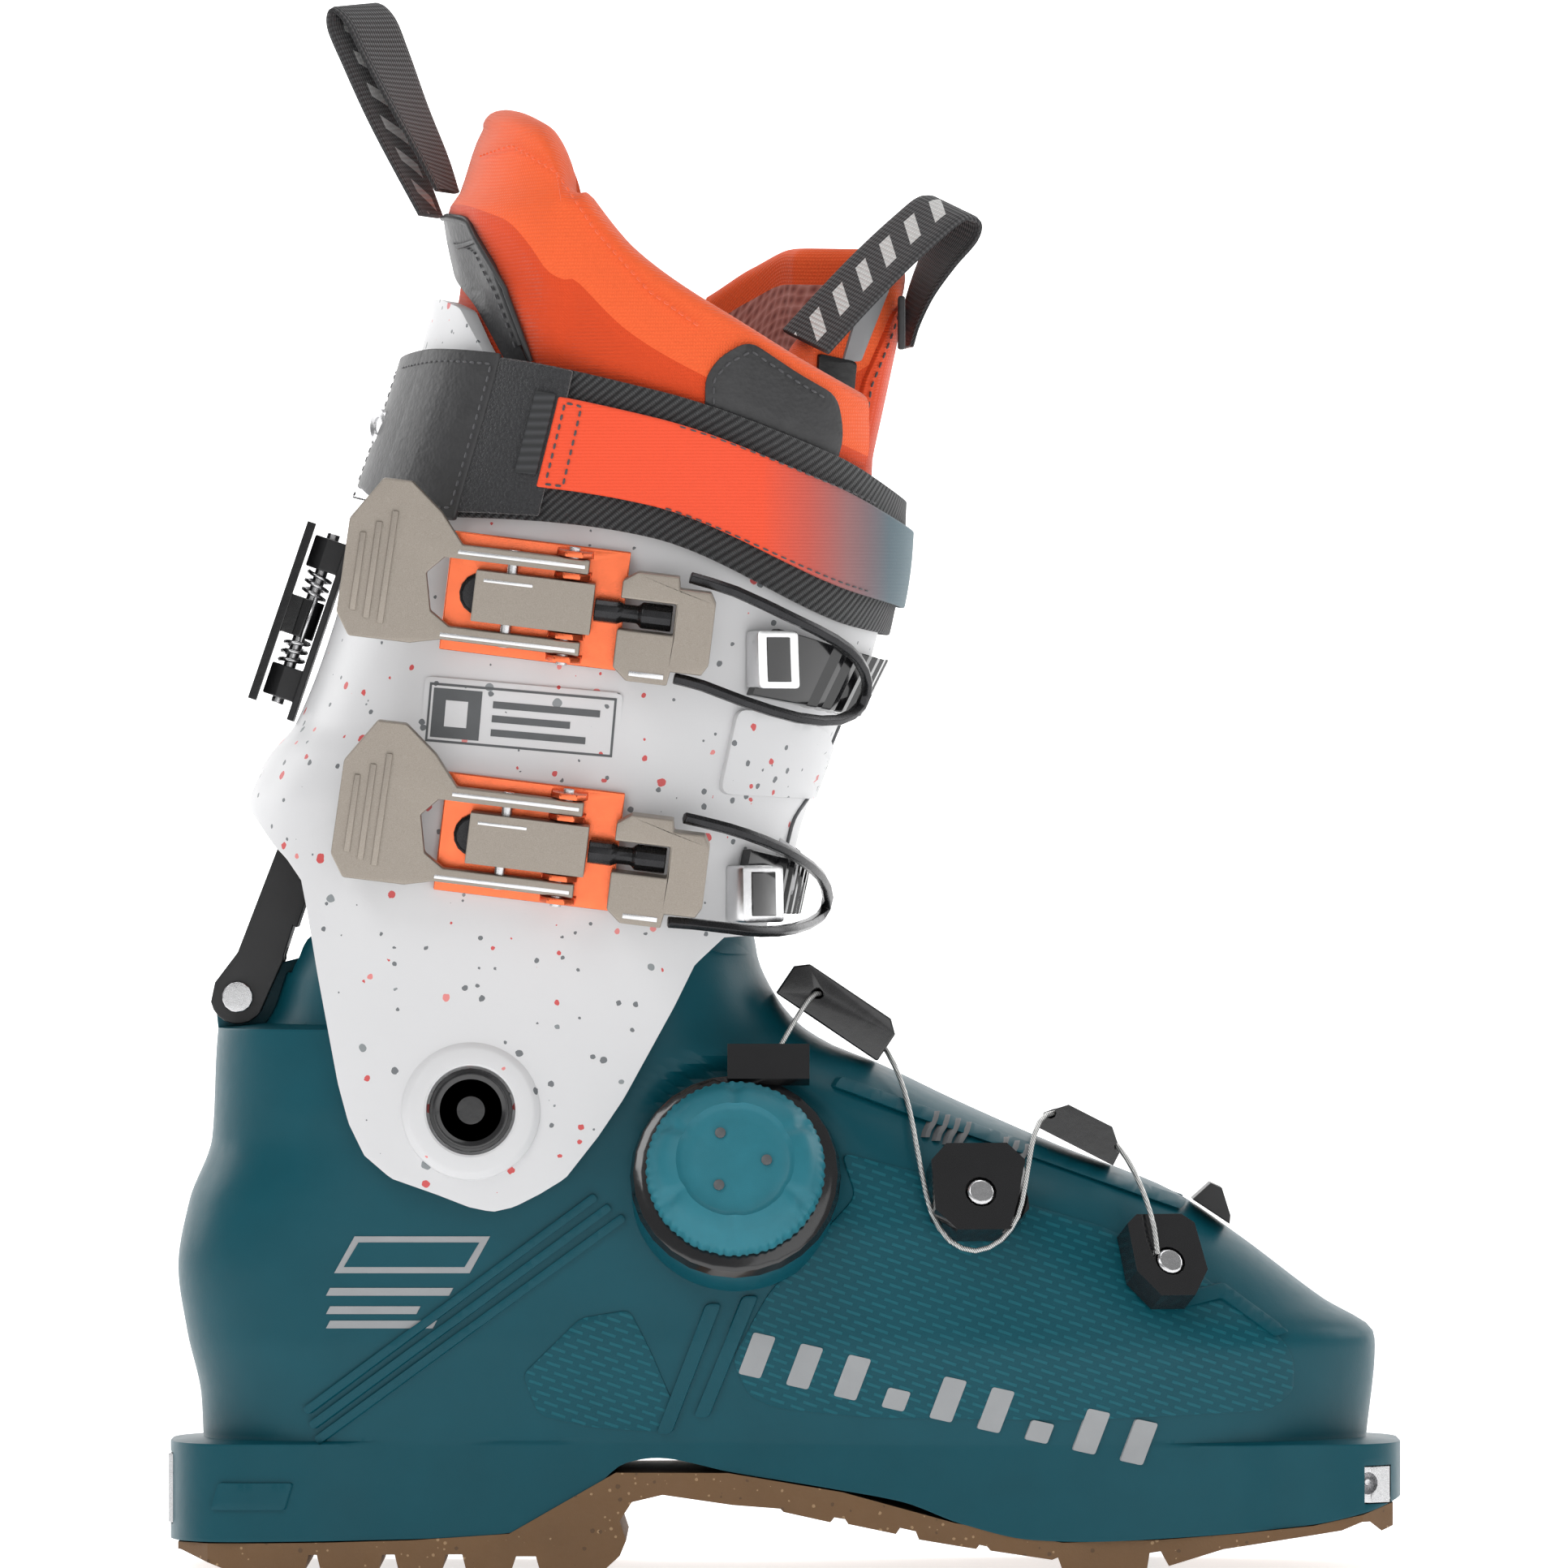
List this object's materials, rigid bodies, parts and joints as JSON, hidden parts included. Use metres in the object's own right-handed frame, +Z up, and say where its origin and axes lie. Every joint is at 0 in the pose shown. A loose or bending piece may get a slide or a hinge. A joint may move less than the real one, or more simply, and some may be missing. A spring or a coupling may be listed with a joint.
{
  "type": "alpine touring ski boot",
  "caption": "Alpine touring ski boot for the right foot: hard shell with a lace dial, hinged cuff with lever buckles, power strap, padded liner and ridged sole.",
  "frame": {"origin": "centre of the bounding box at the ground, below the sole", "axes": "+X points to the toe, +Z up the leg, -Y to the outer (lateral) side of the boot, where the levers and the dial are"},
  "size_m": [0.303, 0.1338, 0.3862],
  "materials": {
    "teal_polyurethane": "satin injection-moulded polyurethane, textured flank panel",
    "speckled_white": "satin moulded plastic with grey and pink speckles",
    "dial_teal": "satin moulded knob",
    "gum_rubber": "speckled gum rubber",
    "black_nylon": "satin glass-filled nylon",
    "black_anodised": "black anodised",
    "blasted_magnesium": "fine blasted, bare grey-beige",
    "orange_anodised": "gloss orange-red anodised",
    "steel": "plain",
    "orange_cloth": "orange knit over foam",
    "orange_webbing": "woven band, orange fading to grey and teal",
    "black_hook_cloth": "hook and loop pile",
    "black_elastic": "twill elastic",
    "dark_webbing": "ribbed webbing with white figures",
    "black_grain": "pebbled synthetic leather",
    "grey_foam": "moulded foam",
    "liner_foot_foam": "heat-moulded foam bootie"
  },
  "bodies": {
    "shell": {"lower_shell": "teal_polyurethane", "outsole": "gum_rubber", "toe_insert": "steel", "heel_insert": "steel", "heel_insert_screw": "steel", "boot_board": "black_nylon", "liner_foot": "liner_foot_foam", "footbed": "grey_foam", "dial_base": "black_nylon", "lace_cable": "steel", "guide_upper": "black_nylon", "guide_ridge": "black_nylon", "guide_side": "black_nylon", "lace_anchor": "black_nylon", "guide_side_screw": "steel", "lace_anchor_screw": "steel", "flap_stop": "black_nylon", "pivot_bolt_lateral": "black_nylon", "pivot_bolt_medial": "black_nylon"},
    "cuff": {"cuff": "speckled_white", "strap_rear_tab": "black_grain", "strap_velcro": "black_hook_cloth", "strap_elastic": "black_elastic", "strap_band": "orange_webbing", "liner_upper": "orange_cloth", "tongue": "orange_cloth", "pull_loop_rear": "dark_webbing", "pull_loop_front": "dark_webbing", "tongue_tag": "black_grain", "walk_base": "black_nylon", "walk_axle": "steel", "walk_spring": "steel", "upper_buckle_base": "orange_anodised", "upper_buckle_base_screw": "black_nylon", "upper_buckle_pivot_pin_low": "steel", "upper_buckle_pivot_pin_high": "steel", "upper_buckle_ladder": "black_nylon", "lower_buckle_base": "orange_anodised", "lower_buckle_base_screw": "black_nylon", "lower_buckle_pivot_pin_low": "steel", "lower_buckle_pivot_pin_high": "steel", "lower_buckle_ladder": "black_nylon"},
    "walk_link": {"walk_link": "black_nylon", "walk_link_rivet": "steel"},
    "walk_lever": {"walk_lever": "black_nylon"},
    "dial_hub": {"dial_hub": "black_nylon", "dial_spool": "black_nylon"},
    "dial_knob": {"dial_knob": "dial_teal"},
    "upper_lever": {"upper_buckle_lever": "blasted_magnesium", "upper_buckle_link_pin": "steel"},
    "upper_yoke": {"upper_buckle_link_block": "blasted_magnesium", "upper_buckle_adjust_rod": "black_anodised", "upper_buckle_yoke": "blasted_magnesium"},
    "upper_bail": {"upper_buckle_bail": "black_anodised"},
    "lower_lever": {"lower_buckle_lever": "blasted_magnesium", "lower_buckle_link_pin": "steel"},
    "lower_yoke": {"lower_buckle_link_block": "blasted_magnesium", "lower_buckle_adjust_rod": "black_anodised", "lower_buckle_yoke": "blasted_magnesium"},
    "lower_bail": {"lower_buckle_bail": "black_anodised"}
  },
  "joints": [
    {"name": "cuff_pivot", "type": "hinge", "parent": "shell", "child": "cuff", "pos_m": [-0.0765, 0.00473, 0.113], "axis": [0, 1, 0], "range_deg": [-18, 6]},
    {"name": "walk_link_pivot", "type": "hinge", "parent": "shell", "child": "walk_link", "pos_m": [-0.1347, 0.00473, 0.14], "axis": [0, 1, 0], "range_deg": [-24, 8]},
    {"name": "walk_lever_hinge", "type": "hinge", "parent": "cuff", "child": "walk_lever", "pos_m": [-0.11837, 0.00473, 0.2332], "axis": [0.3223, 0, 0.9466], "range_deg": [0, 30], "stiffness_Nm_per_rad": 0.02},
    {"name": "upper_lever_hinge", "type": "hinge", "parent": "cuff", "child": "upper_lever", "pos_m": [-0.05256, -0.06065, 0.23548], "axis": [0.1216, -0.0652, 0.9904], "range_deg": [0, 130]},
    {"name": "upper_link_hinge", "type": "hinge", "parent": "upper_lever", "child": "upper_yoke", "pos_m": [-0.06686, -0.06065, 0.23724], "axis": [0.1216, -0.0652, 0.9904], "range_deg": [-130, 0]},
    {"name": "upper_bail_hinge", "type": "hinge", "parent": "upper_yoke", "child": "upper_bail", "pos_m": [-0.023, -0.06181, 0.2424], "axis": [-0.1614, 0.0678, -0.9846], "range_deg": [0, 16]},
    {"name": "lower_lever_hinge", "type": "hinge", "parent": "cuff", "child": "lower_lever", "pos_m": [-0.05408, -0.05606, 0.17692], "axis": [0.1214, -0.0856, 0.9889], "range_deg": [0, 130]},
    {"name": "lower_link_hinge", "type": "hinge", "parent": "lower_lever", "child": "lower_yoke", "pos_m": [-0.06838, -0.05606, 0.17868], "axis": [0.1214, -0.0856, 0.9889], "range_deg": [-130, 0]},
    {"name": "lower_bail_hinge", "type": "hinge", "parent": "lower_yoke", "child": "lower_bail", "pos_m": [-0.0245, -0.05587, 0.1842], "axis": [-0.1561, 0.0281, -0.9873], "range_deg": [0, 16]},
    {"name": "dial_turn", "type": "hinge", "parent": "shell", "child": "dial_hub", "pos_m": [-0.0121, -0.04177, 0.096], "axis": [0, -0.9511, 0.309], "continuous": true},
    {"name": "dial_lift", "type": "slide", "parent": "dial_hub", "child": "dial_knob", "axis": [0, -0.9511, 0.309], "range_m": [0, 0.002]}
  ],
  "couplings": [
    {"joint": "walk_link_pivot", "follows": "cuff_pivot", "ratio": 1.25},
    {"joint": "upper_link_hinge", "follows": "upper_lever_hinge", "ratio": -1},
    {"joint": "lower_link_hinge", "follows": "lower_lever_hinge", "ratio": -1},
    {"joint": "upper_bail_hinge", "follows": "upper_lever_hinge", "ratio": 0.12},
    {"joint": "lower_bail_hinge", "follows": "lower_lever_hinge", "ratio": 0.12}
  ]
}
